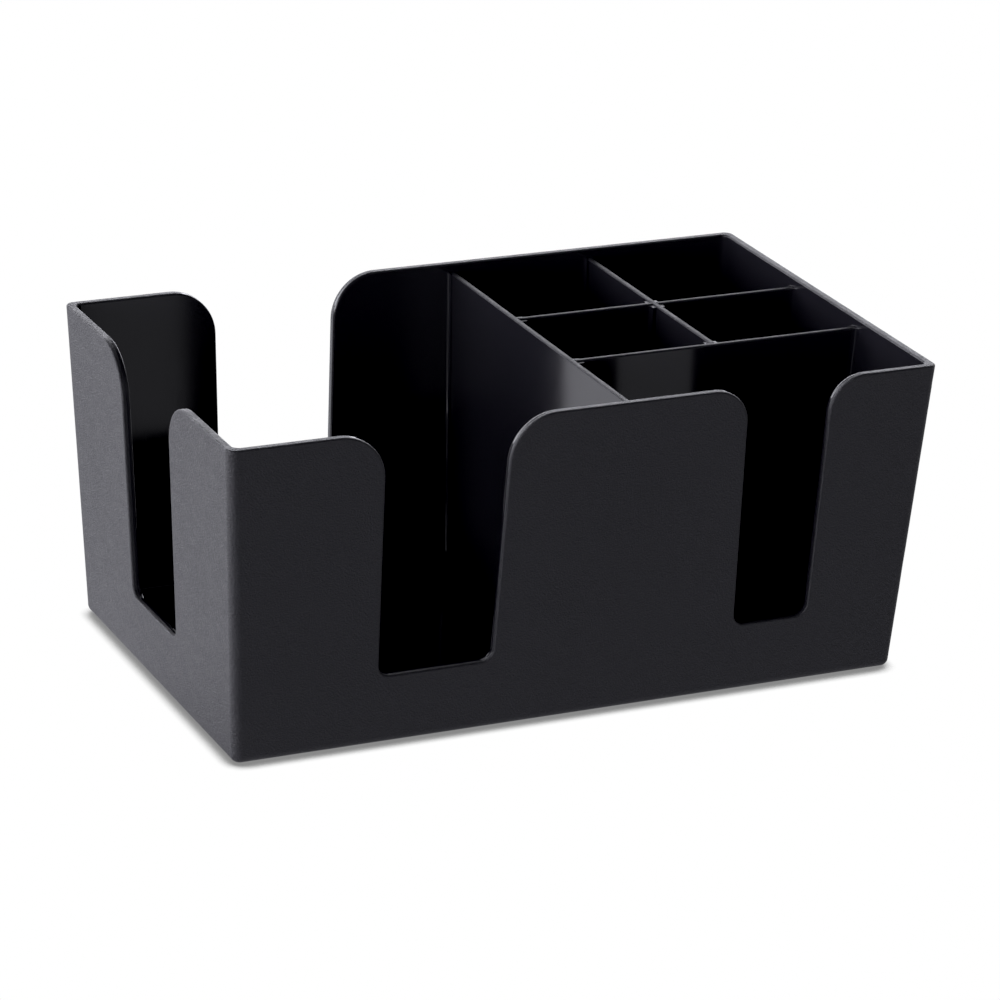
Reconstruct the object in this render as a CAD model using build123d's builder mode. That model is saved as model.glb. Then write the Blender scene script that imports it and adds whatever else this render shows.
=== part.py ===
from build123d import *
import math
import os

# Six-compartment counter caddy for cocktail napkins, straws and stirrers.
# A drafted open-topped tub stands on four rubber feet. Four thin dividers drop
# into guide channels on its inner walls and lift straight out for cleaning.
#
# Millimetres and degrees. X runs along the length, the front faces -Y, +Z is up.
# The origin is on the counter, under the centre of the caddy.

os.makedirs("parts", exist_ok=True)

# --- driving dimensions: tub -------------------------------------------------
rim_length = 242.0
rim_width = 145.0
rim_height = 106.4
wall = 2.8
draft = 3.3
outer_corner_radius = 3.0
inner_corner_radius = 2.2
base_edge_radius = 2.5
rim_edge_radius = 0.6
floor_top = 5.0
floor_thickness = 2.6
floor_edge_radius = 2.0

# --- driving dimensions: finger slots ----------------------------------------
sill_height = 24.1
slot_draft = 1.2
slot_foot_radius = 4.0
napkin_slot_width = 38.8
napkin_slot_x = -48.6
end_slot_width = 38.2
napkin_mouth_radius = 15.5
straw_slot_width = 26.2
straw_slot_x = 68.4
straw_mouth_radius = 12.0

# --- driving dimensions: dividers and their guides ---------------------------
divider_thickness = 1.8
divider_top = 103.4
divider_edge_radius = 0.5
divider_foot_radius = 2.4
bay_divider_x = 15.6
cross_divider_x = 66.2
rear_divider_y = 19.7
front_divider_y = -23.2
guide_lip = 0.4
guide_depth = 1.6
guide_fillet = 1.2
guide_root = 1.0
rib_lip = 1.2
rib_depth = 2.4
rib_fillet = 0.8
rib_root = 0.3
fillet_step = 0.1
side_gap = 0.1
end_gap = 0.2
half_lap_z = 54.0

# --- driving dimensions: underside and feet ----------------------------------
foot_proud = 0.8
foot_radius = 6.5
foot_taper = 0.5
foot_edge_radius = 0.4
foot_gap = 0.1
foot_inset = 17.0
socket_wall = 1.2
skirt_width = 5.0
skirt_corner_radius = 4.0
gate_radius = 3.0
gate_depth = 0.5
gate_stub_radius = 1.2

# --- values that follow from them --------------------------------------------
lean = math.tan(math.radians(draft))
slot_lean = math.tan(math.radians(slot_draft))
overshoot = 4.0
half_thickness = divider_thickness / 2
channel_half = half_thickness + side_gap
floor_bottom = floor_top - floor_thickness
base_length = rim_length - 2 * lean * (rim_height - foot_proud)
base_width = rim_width - 2 * lean * (rim_height - foot_proud)


def inner_x(height):
    """Half the clear length between the end walls at a height."""
    return rim_length / 2 - wall - lean * (rim_height - height)


def inner_y(height):
    """Half the clear width between the front and back walls at a height."""
    return rim_width / 2 - wall - lean * (rim_height - height)


# --- profiles ----------------------------------------------------------------
def slot_profile(plane, sill_width, mouth_radius):
    """Open-topped finger slot: rounded foot, drafted sides, flared mouth."""
    half_sill = sill_width / 2
    arc_start_z = rim_height - mouth_radius * (1 - math.sin(math.radians(slot_draft)))
    arc_start_x = half_sill + slot_lean * (arc_start_z - sill_height)
    with BuildSketch(plane) as profile:
        with BuildLine():
            side = Polyline((0, sill_height), (half_sill, sill_height), (arc_start_x, arc_start_z))
            mouth = JernArc(side @ 1, side % 1, mouth_radius, slot_draft - 90)
            Polyline(mouth @ 1, (mouth @ 1) + (0, overshoot), (0, rim_height + overshoot))
            mirror(about=Plane.YZ)
        make_face()
        feet = profile.vertices().group_by(Axis.Y)[0].sort_by(Axis.X)
        fillet([feet[0], feet[-1]], slot_foot_radius)
    return profile.sketch


def guide_profile(plane, lip, depth, radius, root):
    """Pair of guide ribs in plan, each a narrow lip with a hollow fillet behind.
    The plane's Y points away from the wall that carries them, and root is how
    deep they start inside that wall."""
    lip_edge = channel_half + lip
    fillet_start = (lip_edge, fillet_step + radius)
    fillet_end = (lip_edge + radius, fillet_step)
    with BuildSketch(plane) as profile:
        with BuildLine():
            Polyline(
                fillet_end,
                (lip_edge + radius, -root),
                (channel_half, -root),
                (channel_half, depth),
                (lip_edge, depth),
                fillet_start,
            )
            RadiusArc(fillet_start, fillet_end, -radius)
        make_face()
        mirror(about=Plane.YZ)
    return profile.sketch


def plan_plane(x, y, z, inward):
    """Horizontal plane at a wall point, its Y axis pointing along inward."""
    across = (inward[1], -inward[0], 0)
    return Plane(origin=(x, y, z), x_dir=across, z_dir=(0, 0, 1))


# --- inside of the tub -------------------------------------------------------
with BuildPart() as cavity:
    with BuildSketch(Plane.XY.offset(floor_top)):
        Rectangle(2 * inner_x(floor_top), 2 * inner_y(floor_top))
    extrude(amount=rim_height + overshoot - floor_top, taper=-draft)
    fillet(cavity.edges().group_by(Axis.Z)[1], inner_corner_radius)
    fillet(cavity.edges().group_by(Axis.Z)[0], floor_edge_radius)

napkin_slot = slot_profile(
    Plane(origin=(napkin_slot_x, 0, 0), x_dir=(1, 0, 0), z_dir=(0, -1, 0)),
    napkin_slot_width,
    napkin_mouth_radius,
)
end_slot = slot_profile(
    Plane(origin=(-rim_length / 2 - overshoot, 0, 0), x_dir=(0, 1, 0), z_dir=(1, 0, 0)),
    end_slot_width,
    napkin_mouth_radius,
)
straw_slot = slot_profile(
    Plane(origin=(straw_slot_x, -rim_width / 2 - overshoot, 0), x_dir=(1, 0, 0), z_dir=(0, -1, 0)),
    straw_slot_width,
    straw_mouth_radius,
)
slot_reach = wall + lean * rim_height + 2 * overshoot

# Guide ribs on the drafted walls follow the lean of their own wall.
guide_foot = floor_top - guide_root
guide_length = (divider_top - guide_foot) / math.cos(math.radians(draft))
back_wall_y = inner_y(guide_foot)
right_wall_x = inner_x(guide_foot)
guide_planes = {
    (0, lean, 1): [
        plan_plane(x, back_wall_y, guide_foot, (0, -1)) for x in (bay_divider_x, cross_divider_x)
    ],
    (0, -lean, 1): [plan_plane(bay_divider_x, -back_wall_y, guide_foot, (0, 1))],
    (lean, 0, 1): [
        plan_plane(right_wall_x, y, guide_foot, (-1, 0)) for y in (rear_divider_y, front_divider_y)
    ],
}
wall_guides = [
    (guide_profile(plane, guide_lip, guide_depth, guide_fillet, guide_root), rise)
    for rise, planes in guide_planes.items()
    for plane in planes
]

foot_points = [
    (side * (base_length / 2 - foot_inset), end * (base_width / 2 - foot_inset))
    for side in (-1, 1)
    for end in (-1, 1)
]

# --- tub ---------------------------------------------------------------------
with BuildPart() as tub:
    with BuildSketch(Plane.XY.offset(foot_proud)):
        Rectangle(base_length, base_width)
    extrude(amount=rim_height - foot_proud, taper=-draft)
    fillet(tub.edges().group_by(Axis.Z)[1], outer_corner_radius)
    fillet(tub.edges().group_by(Axis.Z)[0], base_edge_radius)
    add(cavity.part, mode=Mode.SUBTRACT)

    extrude(napkin_slot, amount=rim_width, both=True, mode=Mode.SUBTRACT)
    extrude(end_slot, amount=slot_reach, mode=Mode.SUBTRACT)
    extrude(straw_slot, amount=-slot_reach, mode=Mode.SUBTRACT)

    # Round the rim and the slot edges, inside and outside, in one run.
    rim_edges = ShapeList()
    for face in tub.faces().filter_by(GeomType.PLANE):
        tilt = abs(face.normal_at().Z)
        steep_wall = 0.01 < tilt < 0.1 and face.area > 1000
        if steep_wall:
            for edge in face.edges():
                point = edge @ 0.5
                at_corner = abs(point.X) > inner_x(0) - 1 and abs(point.Y) > inner_y(0) - 1
                if point.Z > sill_height - 1 and not at_corner:
                    rim_edges.append(edge)
    corner_arcs = tub.edges().filter_by_position(Axis.Z, rim_height - 0.01, rim_height + 0.01)
    for edge in corner_arcs:
        point = edge @ 0.5
        if abs(point.X) > inner_x(0) - 1 and abs(point.Y) > inner_y(0) - 1:
            rim_edges.append(edge)
    fillet(rim_edges, rim_edge_radius)

    # Guide channels for the dividers.
    for guide, rise in wall_guides:
        extrude(guide, amount=guide_length, dir=rise)

    # Recessed underside with a socket ring for each foot and the gate mark.
    with BuildSketch(Plane.XY.offset(foot_proud)):
        RectangleRounded(base_length - 2 * skirt_width, base_width - 2 * skirt_width, skirt_corner_radius)
    extrude(amount=floor_bottom - foot_proud, mode=Mode.SUBTRACT)
    with BuildSketch(Plane.XY.offset(foot_proud)):
        with Locations(*foot_points):
            Circle(foot_radius + foot_gap + socket_wall)
            Circle(foot_radius + foot_gap, mode=Mode.SUBTRACT)
    extrude(amount=floor_bottom - foot_proud)
    with BuildSketch(Plane.XY.offset(floor_bottom)):
        Circle(gate_radius)
        Circle(gate_stub_radius, mode=Mode.SUBTRACT)
    extrude(amount=gate_depth, mode=Mode.SUBTRACT)

tub.part.label = "tub"
export_step(tub.part, "parts/tub.step")

# --- dividers ----------------------------------------------------------------
# Their ends stand just off the walls and follow the draft, so a divider only
# moves away from the walls as it is lifted.
foot_y = inner_y(floor_top) - end_gap
top_y = inner_y(divider_top) - end_gap
foot_x = inner_x(floor_top) - end_gap
top_x = inner_x(divider_top) - end_gap
pocket_start_x = bay_divider_x + half_thickness + end_gap
cross_start_y = front_divider_y + half_thickness + end_gap
rib_height = divider_top - divider_edge_radius - floor_top

with BuildPart() as napkin_bay_divider:
    with BuildSketch(Plane.YZ.offset(bay_divider_x - half_thickness)) as panel:
        Polygon(
            (-foot_y, floor_top),
            (foot_y, floor_top),
            (top_y, divider_top),
            (-top_y, divider_top),
            align=None,
        )
        fillet(panel.vertices().group_by(Axis.Y)[0], divider_foot_radius)
    extrude(amount=divider_thickness)
    fillet(napkin_bay_divider.edges().filter_by(Axis.Y).group_by(Axis.Z)[-1], divider_edge_radius)
    right_face_x = bay_divider_x + half_thickness
    for y in (rear_divider_y, front_divider_y):
        rib_plane = plan_plane(right_face_x, y, floor_top, (1, 0))
        ribs = guide_profile(rib_plane, rib_lip, rib_depth, rib_fillet, rib_root)
        extrude(ribs, amount=rib_height)

napkin_bay_divider.part.label = "napkin_bay_divider"
export_step(napkin_bay_divider.part, "parts/napkin_bay_divider.step")

with BuildPart() as rear_divider:
    with BuildSketch(Plane.XZ.offset(-rear_divider_y - half_thickness)) as panel:
        Polygon(
            (pocket_start_x, floor_top),
            (foot_x, floor_top),
            (top_x, divider_top),
            (pocket_start_x, divider_top),
            align=None,
        )
        fillet(panel.vertices().sort_by(Axis.X)[-2], divider_foot_radius)
    extrude(amount=divider_thickness)
    fillet(rear_divider.edges().filter_by(Axis.X).group_by(Axis.Z)[-1], divider_edge_radius)
    for side in (1, -1):
        face_y = rear_divider_y + side * half_thickness
        rib_plane = plan_plane(cross_divider_x, face_y, floor_top, (0, side))
        ribs = guide_profile(rib_plane, rib_lip, rib_depth, rib_fillet, rib_root)
        extrude(ribs, amount=rib_height)
    with BuildSketch(Plane.XZ.offset(-rear_divider_y - divider_thickness)):
        with Locations((cross_divider_x, half_lap_z - side_gap)):
            Rectangle(2 * channel_half, divider_top, align=(Align.CENTER, Align.MIN))
    extrude(amount=2 * divider_thickness, mode=Mode.SUBTRACT)

rear_divider.part.label = "rear_divider"
export_step(rear_divider.part, "parts/rear_divider.step")

with BuildPart() as front_divider:
    with BuildSketch(Plane.XZ.offset(-front_divider_y - half_thickness)) as panel:
        Polygon(
            (pocket_start_x, floor_top),
            (foot_x, floor_top),
            (top_x, divider_top),
            (pocket_start_x, divider_top),
            align=None,
        )
        fillet(panel.vertices().sort_by(Axis.X)[-2], divider_foot_radius)
    extrude(amount=divider_thickness)
    fillet(front_divider.edges().filter_by(Axis.X).group_by(Axis.Z)[-1], divider_edge_radius)
    face_y = front_divider_y + half_thickness
    rib_plane = plan_plane(cross_divider_x, face_y, floor_top, (0, 1))
    ribs = guide_profile(rib_plane, rib_lip, rib_depth, rib_fillet, rib_root)
    extrude(ribs, amount=rib_height)

front_divider.part.label = "front_divider"
export_step(front_divider.part, "parts/front_divider.step")

# The cross divider straddles the rear divider: each is notched to half height.
with BuildPart() as cross_divider:
    with BuildSketch(Plane.YZ.offset(cross_divider_x - half_thickness)) as panel:
        Polygon(
            (cross_start_y, floor_top),
            (foot_y, floor_top),
            (top_y, divider_top),
            (cross_start_y, divider_top),
            align=None,
        )
        fillet(panel.vertices().sort_by(Axis.X)[-2], divider_foot_radius)
        with Locations((rear_divider_y, half_lap_z)):
            Rectangle(
                2 * channel_half,
                divider_top,
                align=(Align.CENTER, Align.MAX),
                mode=Mode.SUBTRACT,
            )
    extrude(amount=divider_thickness)
    fillet(cross_divider.edges().filter_by(Axis.Y).group_by(Axis.Z)[-1], divider_edge_radius)

cross_divider.part.label = "cross_divider"
export_step(cross_divider.part, "parts/cross_divider.step")

# --- feet --------------------------------------------------------------------
foot_names = ["foot_front_left", "foot_rear_left", "foot_front_right", "foot_rear_right"]
for name, (x, y) in zip(foot_names, foot_points):
    with BuildPart(Plane(origin=(x, y, 0))) as foot:
        Cone(
            foot_radius - foot_taper,
            foot_radius,
            floor_bottom,
            align=(Align.CENTER, Align.CENTER, Align.MIN),
        )
        fillet(foot.edges().group_by(Axis.Z)[0], foot_edge_radius)
    foot.part.label = name
    export_step(foot.part, f"parts/{name}.step")
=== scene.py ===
"""A black counter caddy for napkins: camera, plastics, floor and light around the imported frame."""

import math

import bpy
from mathutils import Matrix, Vector


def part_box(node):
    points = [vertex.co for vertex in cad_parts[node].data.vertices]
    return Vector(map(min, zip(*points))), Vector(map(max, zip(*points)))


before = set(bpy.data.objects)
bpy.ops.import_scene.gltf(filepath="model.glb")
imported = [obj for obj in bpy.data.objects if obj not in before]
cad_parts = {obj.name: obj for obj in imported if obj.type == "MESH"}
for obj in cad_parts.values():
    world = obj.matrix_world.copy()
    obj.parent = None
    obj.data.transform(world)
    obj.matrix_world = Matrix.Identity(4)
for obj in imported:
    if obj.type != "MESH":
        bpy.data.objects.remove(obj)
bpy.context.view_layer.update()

MM = 0.001

# ---------------------------------------------------------------- camera

CAMERA_AZIMUTH = math.radians(-25.53)
CAMERA_ELEVATION = math.radians(21.14)
CAMERA_ROLL = math.radians(2.34)
CAMERA_DISTANCE = 1491.2 * MM
CAMERA_LENS_MM = 165.4
SENSOR_MM = 36.0
CLIP_NEAR = 50 * MM
CLIP_FAR = 60.0
AIM_HEIGHT = 51.0 * MM
AIM_RIGHT = 2.88 * MM
AIM_UP = -1.67 * MM

back = Vector(
    (
        math.sin(CAMERA_AZIMUTH) * math.cos(CAMERA_ELEVATION),
        -math.cos(CAMERA_AZIMUTH) * math.cos(CAMERA_ELEVATION),
        math.sin(CAMERA_ELEVATION),
    )
)
level = (-back).to_track_quat("-Z", "Y")
aim = level @ Matrix.Rotation(CAMERA_ROLL, 4, "Z").to_quaternion()
target = Vector((0.0, 0.0, AIM_HEIGHT)) + aim @ Vector((AIM_RIGHT, AIM_UP, 0.0))
camera_data = bpy.data.cameras.new("camera")
camera_data.sensor_width = SENSOR_MM
camera_data.lens = CAMERA_LENS_MM
camera_data.clip_start = CLIP_NEAR
camera_data.clip_end = CLIP_FAR
camera = bpy.data.objects.new("camera", camera_data)
bpy.context.scene.collection.objects.link(camera)
camera.rotation_mode = "QUATERNION"
camera.rotation_quaternion = aim
camera.location = target + back * CAMERA_DISTANCE
bpy.context.scene.camera = camera

# ---------------------------------------------------------------- node helpers

# Nearly all of a noise node's output lies between these two values.
NOISE_LOW = 0.3
NOISE_HIGH = 0.7
CELL_SMOOTHNESS = 0.6


class Graph:
    """A node tree with short calls for the nodes that the materials share."""

    def __init__(self, tree):
        self.tree = tree
        self.nodes = tree.nodes
        self.nodes.clear()

    def add(self, kind, **settings):
        node = self.nodes.new(kind)
        for key, value in settings.items():
            setattr(node, key, value)
        return node

    def feed(self, socket, value):
        """Link a socket to another's output, or set it to a plain value."""
        if isinstance(value, bpy.types.NodeSocket):
            self.tree.links.new(value, socket)
        else:
            socket.default_value = value

    def math(self, operation, *values):
        node = self.add("ShaderNodeMath", operation=operation)
        for socket, value in zip(node.inputs, values):
            self.feed(socket, value)
        return node.outputs[0]

    def remap(self, value, low, high, to_low, to_high, smooth=False):
        kind = "SMOOTHSTEP" if smooth else "LINEAR"
        node = self.add("ShaderNodeMapRange", interpolation_type=kind)
        for name, item in (
            ("Value", value),
            ("From Min", low),
            ("From Max", high),
            ("To Min", to_low),
            ("To Max", to_high),
        ):
            self.feed(node.inputs[name], item)
        return node.outputs["Result"]

    def spread(self, noise, to_low, to_high):
        """Noise stretched over the whole of a range."""
        return self.remap(noise, NOISE_LOW, NOISE_HIGH, to_low, to_high)

    def mix(self, factor, a, b):
        node = self.add("ShaderNodeMix", data_type="FLOAT")
        self.feed(node.inputs[0], factor)
        self.feed(node.inputs[2], a)
        self.feed(node.inputs[3], b)
        return node.outputs[0]

    def mix_colour(self, factor, a, b):
        node = self.add("ShaderNodeMix", data_type="RGBA")
        self.feed(node.inputs[0], factor)
        self.feed(node.inputs[6], a)
        self.feed(node.inputs[7], b)
        return node.outputs[2]

    def noise(self, vector, size, detail=2.0, roughness=0.5):
        """Noise whose features are about `size` metres across."""
        node = self.add("ShaderNodeTexNoise")
        self.feed(node.inputs["Vector"], vector)
        node.inputs["Scale"].default_value = 1.0 / size
        node.inputs["Detail"].default_value = detail
        node.inputs["Roughness"].default_value = roughness
        return node.outputs["Fac"]

    def cells(self, vector, size):
        """Rounded cells about `size` metres across."""
        node = self.add("ShaderNodeTexVoronoi", feature="SMOOTH_F1")
        self.feed(node.inputs["Vector"], vector)
        node.inputs["Scale"].default_value = 1.0 / size
        node.inputs["Smoothness"].default_value = CELL_SMOOTHNESS
        return node.outputs["Distance"]

    def stretched(self, vector, x, y, z):
        node = self.add("ShaderNodeMapping")
        self.feed(node.inputs["Vector"], vector)
        node.inputs["Scale"].default_value = (x, y, z)
        return node.outputs["Vector"]

    def bump(self, height, distance, normal=None):
        node = self.add("ShaderNodeBump")
        self.feed(node.inputs["Height"], height)
        node.inputs["Strength"].default_value = 1.0
        self.feed(node.inputs["Distance"], distance)
        if normal is not None:
            self.feed(node.inputs["Normal"], normal)
        return node.outputs["Normal"]

    def position(self):
        node = self.add("ShaderNodeTexCoord")
        return node.outputs["Object"]

    def split(self, vector):
        node = self.add("ShaderNodeSeparateXYZ")
        self.feed(node.inputs[0], vector)
        return node.outputs[0], node.outputs[1], node.outputs[2]

    def along(self, vector, axis):
        """How far a vector reaches along a fixed unit axis."""
        node = self.add("ShaderNodeVectorMath", operation="DOT_PRODUCT")
        self.feed(node.inputs[0], vector)
        node.inputs[1].default_value = axis
        return node.outputs["Value"]

    def seen_by_camera(self):
        return self.add("ShaderNodeLightPath").outputs["Is Camera Ray"]

    def glowing(self, strength, colour):
        node = self.add("ShaderNodeEmission")
        self.feed(node.inputs["Color"], colour)
        self.feed(node.inputs["Strength"], strength)
        return node.outputs[0]

    def plastic(self, colour, roughness, normal, ior=1.5, shine=0.5):
        shader = self.add("ShaderNodeBsdfPrincipled")
        self.feed(shader.inputs["Base Color"], colour)
        self.feed(shader.inputs["Roughness"], roughness)
        self.feed(shader.inputs["IOR"], ior)
        self.feed(shader.inputs["Specular IOR Level"], shine)
        self.feed(shader.inputs["Normal"], normal)
        output = self.add("ShaderNodeOutputMaterial")
        self.feed(output.inputs["Surface"], shader.outputs[0])


def new_material(name):
    material = bpy.data.materials.new(name)
    material.use_nodes = True
    return material, Graph(material.node_tree)


# ---------------------------------------------------------------- plastics

INSIDE_DARK = (0.0092, 0.0089, 0.0110, 1.0)
INSIDE_LIGHT = (0.0128, 0.0124, 0.0156, 1.0)
INSIDE_ROUGHNESS = (0.09, 0.13)
INSIDE_SHINE = 0.5
INSIDE_CLOUD_SIZE = 34 * MM
WAVE_SIZE = 14 * MM
WAVE_DEPTH = 0.008 * MM
DRAWN_SIZE = 0.8 * MM
DRAWN_STRETCH = 0.06
DRAWN_ROUGHNESS = 0.04
DRAWN_HEIGHT = 0.02

OUTSIDE_DARK = (0.0104, 0.0100, 0.0130, 1.0)
OUTSIDE_LIGHT = (0.0128, 0.0124, 0.0160, 1.0)
OUTSIDE_ROUGHNESS = (0.43, 0.55)
OUTSIDE_SHINE = (0.44, 0.56)
OUTSIDE_CLOUD_SIZE = 45 * MM
OUTSIDE_CLOUD_ROUGHNESS = (-0.015, 0.015)
GRAIN_SIZE = 0.65 * MM
GRAIN_DEPTH = 0.31 * MM
GRAIN_STRETCH = 0.43
PIT_SIZE = 0.55 * MM
PIT_HEIGHT = 0.3
MOTTLE_SIZE = 2.6 * MM
MOTTLE_SHARE = 0.4


def polished_finish(g, place):
    """The smooth moulded inside, slightly wavy and lightly drawn: colour, roughness and height."""
    cloud = g.noise(place, INSIDE_CLOUD_SIZE)
    drawn = g.noise(g.stretched(place, 1.0, 1.0, DRAWN_STRETCH), DRAWN_SIZE, 3.0, 0.6)
    roughness = g.spread(cloud, *INSIDE_ROUGHNESS)
    roughness = g.math("ADD", roughness, g.remap(drawn, 0.55, 0.75, 0.0, DRAWN_ROUGHNESS))
    wave = g.noise(place, WAVE_SIZE, 1.0, 0.4)
    height = g.math("MULTIPLY_ADD", drawn, DRAWN_HEIGHT, wave)
    colour = g.mix_colour(cloud, INSIDE_DARK, INSIDE_LIGHT)
    return colour, roughness, height


def eroded_finish(g, place):
    """The spark-eroded outside, a fine sandy grain: colour, roughness, height and shine."""
    sand = g.stretched(place, 1.0, GRAIN_STRETCH, 1.0)
    grain = g.noise(sand, GRAIN_SIZE, 3.0, 0.75)
    pits = g.cells(sand, PIT_SIZE)
    mottle = g.noise(sand, MOTTLE_SIZE, 3.0, 0.6)
    cloud = g.noise(place, OUTSIDE_CLOUD_SIZE)
    roughness = g.spread(mottle, *OUTSIDE_ROUGHNESS)
    roughness = g.math("ADD", roughness, g.spread(cloud, *OUTSIDE_CLOUD_ROUGHNESS))
    blend = g.mix(MOTTLE_SHARE, grain, mottle)
    colour = g.mix_colour(g.remap(blend, 0.35, 0.65, 0.0, 1.0), OUTSIDE_DARK, OUTSIDE_LIGHT)
    height = g.math("MULTIPLY_ADD", pits, PIT_HEIGHT, grain)
    shine = g.remap(blend, 0.33, 0.67, *OUTSIDE_SHINE)
    return colour, roughness, height, shine


def two_finishes(g, place, textured, edge_shine=1.0):
    """Black plastic, spark-eroded where `textured` is 1 and polished where it is 0."""
    smooth_colour, smooth_roughness, smooth_height = polished_finish(g, place)
    rough_colour, rough_roughness, rough_height, rough_shine = eroded_finish(g, place)
    colour = g.mix_colour(textured, smooth_colour, rough_colour)
    roughness = g.mix(textured, smooth_roughness, rough_roughness)
    shine = g.mix(textured, INSIDE_SHINE, g.math("MULTIPLY", rough_shine, edge_shine))
    polished = g.math("SUBTRACT", 1.0, textured)
    normal = g.bump(smooth_height, g.math("MULTIPLY", polished, WAVE_DEPTH))
    normal = g.bump(rough_height, g.math("MULTIPLY", textured, GRAIN_DEPTH), normal)
    g.plastic(colour, roughness, normal, shine=shine)


WALL = 2.8 * MM
DRAFT = math.tan(math.radians(3.3))
UNDERSIDE_HEIGHT = 3.0 * MM
RIM_DEPTH = 0.5 * MM
FINISH_BLEND = 0.25 * MM


def tub_material():
    """One moulding, eroded outside, underneath and on the rim, and polished inside."""
    low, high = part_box("tub")
    material, g = new_material("moulded_black_tub")
    place = g.position()
    x, y, z = g.split(place)
    below_rim = g.math("SUBTRACT", high.z, z)
    lean = g.math("MULTIPLY", below_rim, DRAFT)
    from_end = g.math("ADD", g.math("SUBTRACT", g.math("ABSOLUTE", x), high.x - WALL / 2), lean)
    from_side = g.math("ADD", g.math("SUBTRACT", g.math("ABSOLUTE", y), high.y - WALL / 2), lean)
    beneath = g.math("SUBTRACT", low.z + UNDERSIDE_HEIGHT, z)
    on_rim = g.math("SUBTRACT", RIM_DEPTH, below_rim)
    past_middle = g.math("MAXIMUM", from_end, from_side)
    depth = g.math("MAXIMUM", past_middle, g.math("MAXIMUM", beneath, on_rim))
    textured = g.remap(depth, -FINISH_BLEND, FINISH_BLEND, 0.0, 1.0, smooth=True)
    two_finishes(g, place, textured)
    return material


DIVIDER_EDGE = 0.35 * MM
DIVIDER_EDGE_END = 0.65 * MM
DIVIDER_EDGE_SHINE = 0.6


def divider_material():
    """Polished faces, with a duller fine grain along the top edge."""
    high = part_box("napkin_bay_divider")[1]
    material, g = new_material("smooth_black_divider")
    place = g.position()
    below_top = g.math("SUBTRACT", high.z, g.split(place)[2])
    textured = g.remap(below_top, DIVIDER_EDGE, DIVIDER_EDGE_END, 1.0, 0.0, smooth=True)
    two_finishes(g, place, textured, DIVIDER_EDGE_SHINE)
    return material


RUBBER_CLEAN = (0.013, 0.013, 0.013, 1.0)
RUBBER_DUSTY = (0.030, 0.029, 0.028, 1.0)
RUBBER_ROUGHNESS = (0.72, 0.90)
RUBBER_IOR = 1.52
SPECK_SIZE = 0.5 * MM
SPECK_DEPTH = 0.04 * MM
DUST_SIZE = 2.5 * MM


def rubber_material():
    """Matt rubber with a little dust."""
    material, g = new_material("soft_black_rubber")
    place = g.position()
    speck = g.noise(place, SPECK_SIZE, 4.0, 0.65)
    dust = g.noise(place, DUST_SIZE)
    dusty = g.remap(dust, 0.4, 0.75, 0.0, 1.0)
    colour = g.mix_colour(dusty, RUBBER_CLEAN, RUBBER_DUSTY)
    roughness = g.spread(speck, *RUBBER_ROUGHNESS)
    normal = g.bump(speck, SPECK_DEPTH)
    g.plastic(colour, roughness, normal, ior=RUBBER_IOR)
    return material


tub_plastic = tub_material()
divider_plastic = divider_material()
rubber = rubber_material()
for name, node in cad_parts.items():
    if name == "tub":
        finish = tub_plastic
    elif name.startswith("foot_"):
        finish = rubber
    else:
        finish = divider_plastic
    node.data.materials.clear()
    node.data.materials.append(finish)

# ---------------------------------------------------------------- floor and light

PURE_WHITE = (1.0, 1.0, 1.0, 1.0)
COOL_WHITE = (1.0, 1.0, 1.08, 1.0)

FLOOR_RADIUS = 20.0
FLOOR_SEGMENTS = 96
CONTACT_REACH = 5.5 * MM
CONTACT_SAMPLES = 8
CONTACT_HIDDEN = 0.45
CONTACT_OPEN = 0.82
CONTACT_SHADE = 0.25
BOUNCE_FRONT = 0.41
BOUNCE_BACK = 1.03
BOUNCE_TURN = 35 * MM
BOUNCE_BLEND = 65 * MM
BOUNCE_SIDE = Vector((-0.50, 0.87, 0.0)).normalized()


def floor_material():
    """A floor blown out to white, as in the photograph, but for a thin contact shadow.
    What it throws back on the caddy is painted light, a glow strongest behind it and to its left;
    the contact shadow is painted too, from ambient occlusion."""
    material, g = new_material("white_floor_painted_glow_and_shadow")
    # Painted shadow: the camera sees the floor glowing white, darkened near the caddy by ambient
    # occlusion rather than by a cast shadow.
    hidden = g.add("ShaderNodeAmbientOcclusion", samples=CONTACT_SAMPLES)
    g.feed(hidden.inputs["Distance"], CONTACT_REACH)
    painted_contact_shadow = g.remap(hidden.outputs["AO"], CONTACT_HIDDEN, CONTACT_OPEN, CONTACT_SHADE, 1.0)
    # Painted bounce light: for all but camera rays the floor glows, brighter behind the caddy and to
    # its left, instead of reflecting the lamps.
    behind = g.math("SUBTRACT", g.along(g.position(), BOUNCE_SIDE), BOUNCE_TURN)
    painted_bounce_glow = g.remap(behind, -BOUNCE_BLEND, BOUNCE_BLEND, BOUNCE_FRONT, BOUNCE_BACK, smooth=True)
    either = g.add("ShaderNodeMixShader")
    g.feed(either.inputs[0], g.seen_by_camera())
    g.feed(either.inputs[1], g.glowing(painted_bounce_glow, COOL_WHITE))
    g.feed(either.inputs[2], g.glowing(painted_contact_shadow, PURE_WHITE))
    output = g.add("ShaderNodeOutputMaterial")
    g.feed(output.inputs["Surface"], either.outputs[0])
    return material


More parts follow.
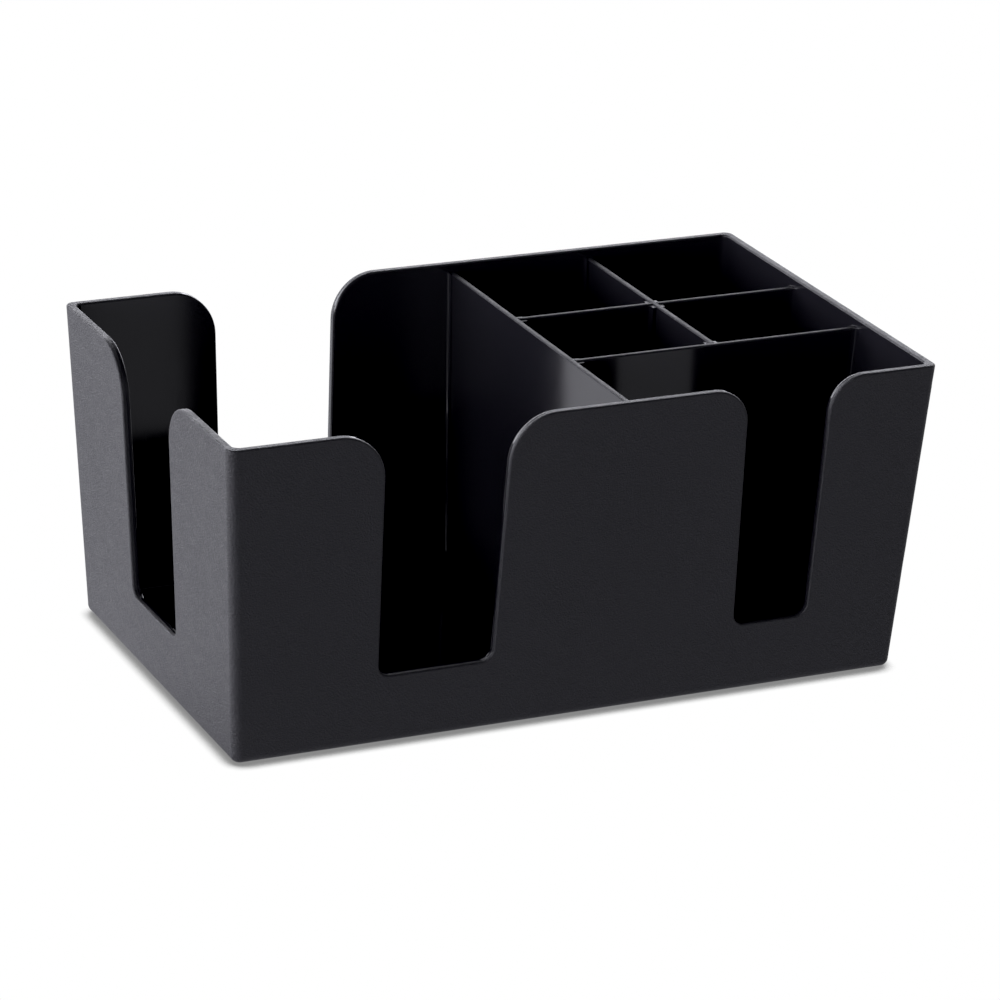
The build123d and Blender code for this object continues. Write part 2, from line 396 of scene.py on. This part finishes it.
LEFT_SIDE = Vector((-0.98, -0.17, 0.0)).normalized()
LEFT_GLOW = 6.6
LEFT_SPREAD = (0.58, 0.97)
LEFT_HEIGHT = (0.10, 0.48)
BACK_GLOW = 4.1
BACK_SPREAD = (0.0, 0.60)
BACK_HEIGHT = (0.15, 0.62)
SKY_DIM = 0.14
CEILING = 0.12


def studio_world():
    """Low light, mostly from the left and some from the back, under a dim ceiling.
    The camera itself sees plain white."""
    world = bpy.data.worlds.new("studio")
    world.use_nodes = True
    g = Graph(world.node_tree)
    direction = g.add("ShaderNodeTexCoord").outputs["Generated"]
    depthways, up = g.split(direction)[1:]
    leftward = g.along(direction, LEFT_SIDE)
    left_light = g.remap(leftward, *LEFT_SPREAD, 0.0, LEFT_GLOW, smooth=True)
    left_low = g.remap(up, *LEFT_HEIGHT, 1.0, CEILING, smooth=True)
    back_light = g.remap(depthways, *BACK_SPREAD, SKY_DIM, SKY_DIM + BACK_GLOW, smooth=True)
    back_low = g.remap(up, *BACK_HEIGHT, 1.0, CEILING, smooth=True)
    glow = g.math("MULTIPLY_ADD", left_light, left_low, g.math("MULTIPLY", back_light, back_low))
    from_camera = g.seen_by_camera()
    background = g.add("ShaderNodeBackground")
    g.feed(background.inputs["Color"], g.mix_colour(from_camera, COOL_WHITE, PURE_WHITE))
    g.feed(background.inputs["Strength"], g.mix(from_camera, glow, 1.0))
    output = g.add("ShaderNodeOutputWorld")
    g.feed(output.inputs["Surface"], background.outputs[0])
    return world


floor_mesh = bpy.data.meshes.new("floor")
ring = [
    (
        FLOOR_RADIUS * math.cos(2 * math.pi * i / FLOOR_SEGMENTS),
        FLOOR_RADIUS * math.sin(2 * math.pi * i / FLOOR_SEGMENTS),
        0.0,
    )
    for i in range(FLOOR_SEGMENTS)
]
floor_mesh.from_pydata(ring, [], [list(range(FLOOR_SEGMENTS))])
floor_mesh.materials.append(floor_material())
floor = bpy.data.objects.new("floor", floor_mesh)
bpy.context.scene.collection.objects.link(floor)
bpy.context.scene.world = studio_world()

# The photograph's deepest shadows are clipped to black, so the black point is raised a little.
BLACK_POINT = 0.0030
look = bpy.context.scene.view_settings
look.view_transform = "Standard"
look.use_curve_mapping = True
look.curve_mapping.black_level = (BLACK_POINT, BLACK_POINT, BLACK_POINT)
look.curve_mapping.update()
